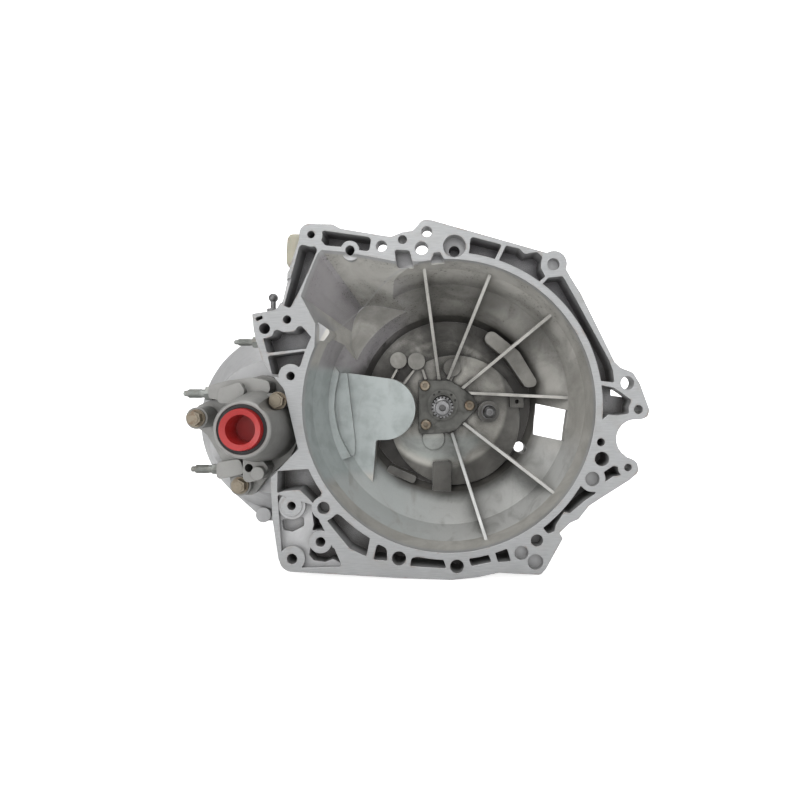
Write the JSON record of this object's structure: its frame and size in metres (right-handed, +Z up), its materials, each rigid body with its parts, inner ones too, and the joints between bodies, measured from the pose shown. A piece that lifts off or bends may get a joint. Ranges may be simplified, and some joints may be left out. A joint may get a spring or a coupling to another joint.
{
  "type": "manual transmission",
  "caption": "Front-wheel-drive manual transaxle with open clutch bell, ribbed gear case, differential snout and external selector lever.",
  "frame": {"origin": "input-shaft axis at the engine-side mating face of the clutch housing", "axes": "+Y along the shafts away from the engine, +Z up, +X to the right when looking into the bell"},
  "size_m": [0.5054, 0.4128, 0.3602],
  "materials": {
    "cast_aluminium": "as-cast, bead-blasted grey",
    "machined_aluminium": "machined",
    "steel": "ground steel",
    "gear_steel": "ground and oiled case-hardened steel",
    "zinc_plated": "aged yellow zinc plate",
    "stud_steel": "dull zinc plate",
    "bearing_steel": "ground bearing steel",
    "brass": "plain",
    "rubber": "black nitrile rubber",
    "red_plastic": "red moulded polyethylene",
    "cream_plastic": "cream moulded nylon",
    "black_plastic": "black moulded nylon"
  },
  "bodies": {
    "case": {"clutch_housing": "cast_aluminium", "gear_case": "cast_aluminium", "rear_cover": "cast_aluminium", "diff_extension_housing": "cast_aluminium", "case_bolts": "zinc_plated", "rear_cover_bolts": "zinc_plated", "extension_bolts": "zinc_plated", "bracket_studs": "stud_steel", "guide_sleeve": "machined_aluminium", "guide_sleeve_bolts": "zinc_plated", "fork_pivot_stud": "steel", "input_oil_seal": "rubber", "diff_oil_seals": "rubber", "transport_plugs": "red_plastic", "drain_plug": "zinc_plated", "fill_plug": "zinc_plated", "reverse_light_switch": "black_plastic", "breather_cap": "cream_plastic", "reverse_idler_shaft": "steel", "reverse_rail": "steel", "shaft_bearings_outer": "bearing_steel", "diff_bearings_outer": "bearing_steel"},
    "input_shaft": {"input_shaft": "steel", "input_gear_3": "gear_steel", "input_gear_4": "gear_steel", "input_gear_5": "gear_steel", "input_bearings_inner": "bearing_steel"},
    "output_shaft": {"output_shaft": "gear_steel", "synchro_hubs": "gear_steel", "baulk_rings": "brass", "output_bearings_inner": "bearing_steel"},
    "first_gear": {"driven_gear_1": "gear_steel"},
    "second_gear": {"driven_gear_2": "gear_steel"},
    "third_gear": {"driven_gear_3": "gear_steel"},
    "fourth_gear": {"driven_gear_4": "gear_steel"},
    "fifth_gear": {"driven_gear_5": "gear_steel"},
    "sleeve_1_2": {"sleeve_1_2": "gear_steel"},
    "sleeve_3_4": {"sleeve_3_4": "gear_steel"},
    "sleeve_5": {"sleeve_5": "gear_steel"},
    "fork_1_2": {"fork_1_2": "steel", "rail_1_2": "steel"},
    "fork_3_4": {"fork_3_4": "steel", "rail_3_4": "steel"},
    "fork_5": {"fork_5": "steel", "rail_5": "steel"},
    "reverse_fork": {"reverse_fork": "steel"},
    "reverse_idler": {"reverse_idler_gear": "gear_steel"},
    "differential": {"diff_case": "gear_steel", "crown_wheel": "gear_steel", "crown_wheel_bolts": "steel", "planet_pin": "steel", "diff_bearings_inner": "bearing_steel"},
    "planet_upper": {"planet_gear_upper": "gear_steel"},
    "planet_lower": {"planet_gear_lower": "gear_steel"},
    "side_left": {"side_gear_left": "gear_steel"},
    "side_right": {"side_gear_right": "gear_steel"},
    "gate_carrier": {"gate_carrier": "steel"},
    "selector": {"selector_shaft": "steel", "selector_lever": "steel"}
  },
  "joints": [
    {"name": "input_shaft_spin", "type": "hinge", "parent": "case", "child": "input_shaft", "pos_m": [0, 0, 0], "axis": [0, 1, 0], "continuous": true},
    {"name": "differential_spin", "type": "hinge", "parent": "case", "child": "differential", "pos_m": [-0.1899, 0, -0.0196], "axis": [0, 1, 0], "continuous": true},
    {"name": "output_shaft_spin", "type": "hinge", "parent": "case", "child": "output_shaft", "pos_m": [-0.06588, 0, -0.004], "axis": [0, 1, 0], "continuous": true},
    {"name": "first_gear_spin", "type": "hinge", "parent": "case", "child": "first_gear", "pos_m": [-0.06588, 0, -0.004], "axis": [0, 1, 0], "continuous": true},
    {"name": "second_gear_spin", "type": "hinge", "parent": "case", "child": "second_gear", "pos_m": [-0.06588, 0, -0.004], "axis": [0, 1, 0], "continuous": true},
    {"name": "third_gear_spin", "type": "hinge", "parent": "case", "child": "third_gear", "pos_m": [-0.06588, 0, -0.004], "axis": [0, 1, 0], "continuous": true},
    {"name": "fourth_gear_spin", "type": "hinge", "parent": "case", "child": "fourth_gear", "pos_m": [-0.06588, 0, -0.004], "axis": [0, 1, 0], "continuous": true},
    {"name": "fifth_gear_spin", "type": "hinge", "parent": "case", "child": "fifth_gear", "pos_m": [-0.06588, 0, -0.004], "axis": [0, 1, 0], "continuous": true},
    {"name": "fork_1_2_slide", "type": "slide", "parent": "case", "child": "fork_1_2", "axis": [0, 1, 0], "range_m": [-0.008, 0.008]},
    {"name": "sleeve_1_2_slide", "type": "slide", "parent": "output_shaft", "child": "sleeve_1_2", "axis": [0, 1, 0], "range_m": [-0.008, 0.008]},
    {"name": "fork_3_4_slide", "type": "slide", "parent": "case", "child": "fork_3_4", "axis": [0, 1, 0], "range_m": [-0.008, 0.008]},
    {"name": "sleeve_3_4_slide", "type": "slide", "parent": "output_shaft", "child": "sleeve_3_4", "axis": [0, 1, 0], "range_m": [-0.008, 0.008]},
    {"name": "fork_5_slide", "type": "slide", "parent": "case", "child": "fork_5", "axis": [0, 1, 0], "range_m": [-0.008, 0]},
    {"name": "sleeve_5_slide", "type": "slide", "parent": "output_shaft", "child": "sleeve_5", "axis": [0, 1, 0], "range_m": [-0.008, 0]},
    {"name": "reverse_fork_slide", "type": "slide", "parent": "case", "child": "reverse_fork", "axis": [0, -1, 0], "range_m": [0, 0.02]},
    {"name": "reverse_idler_spin", "type": "hinge", "parent": "reverse_fork", "child": "reverse_idler", "pos_m": [-0.01081, 0, -0.04038], "axis": [0, 1, 0], "continuous": true},
    {"name": "gate_slide", "type": "slide", "parent": "case", "child": "gate_carrier", "axis": [1, 0, 0], "range_m": [-0.013, 0.013]},
    {"name": "selector_turn", "type": "hinge", "parent": "gate_carrier", "child": "selector", "pos_m": [-0.1, 0.23, 0.098], "axis": [1, 0, 0], "range_deg": [-15, 15]},
    {"name": "side_gear_left_spin", "type": "hinge", "parent": "differential", "child": "side_left", "pos_m": [-0.1899, 0, -0.0196], "axis": [0, 1, 0], "continuous": true},
    {"name": "side_gear_right_spin", "type": "hinge", "parent": "differential", "child": "side_right", "pos_m": [-0.1899, 0, -0.0196], "axis": [0, 1, 0], "continuous": true},
    {"name": "planet_upper_spin", "type": "hinge", "parent": "differential", "child": "planet_upper", "pos_m": [-0.1899, 0.143, -0.0196], "axis": [0, 0, 1], "continuous": true},
    {"name": "planet_lower_spin", "type": "hinge", "parent": "differential", "child": "planet_lower", "pos_m": [-0.1899, 0.143, -0.0196], "axis": [0, 0, 1], "continuous": true}
  ],
  "couplings": [
    {"joint": "output_shaft_spin", "follows": "differential_spin", "ratio": -3.5455},
    {"joint": "first_gear_spin", "follows": "input_shaft_spin", "ratio": -0.30435},
    {"joint": "second_gear_spin", "follows": "input_shaft_spin", "ratio": -0.53846},
    {"joint": "third_gear_spin", "follows": "input_shaft_spin", "ratio": -0.76471},
    {"joint": "fourth_gear_spin", "follows": "input_shaft_spin", "ratio": -1.069},
    {"joint": "fifth_gear_spin", "follows": "input_shaft_spin", "ratio": -1.3077},
    {"joint": "sleeve_1_2_slide", "follows": "fork_1_2_slide", "ratio": 1},
    {"joint": "sleeve_5_slide", "follows": "fork_5_slide", "ratio": 1},
    {"joint": "fork_3_4_slide", "follows": "selector_turn", "m_per_rad": 0.0305},
    {"joint": "sleeve_3_4_slide", "follows": "selector_turn", "m_per_rad": 0.0305},
    {"joint": "side_gear_right_spin", "follows": "side_gear_left_spin", "ratio": -1},
    {"joint": "planet_upper_spin", "follows": "side_gear_left_spin", "ratio": 1.6},
    {"joint": "planet_lower_spin", "follows": "side_gear_left_spin", "ratio": -1.6}
  ]
}
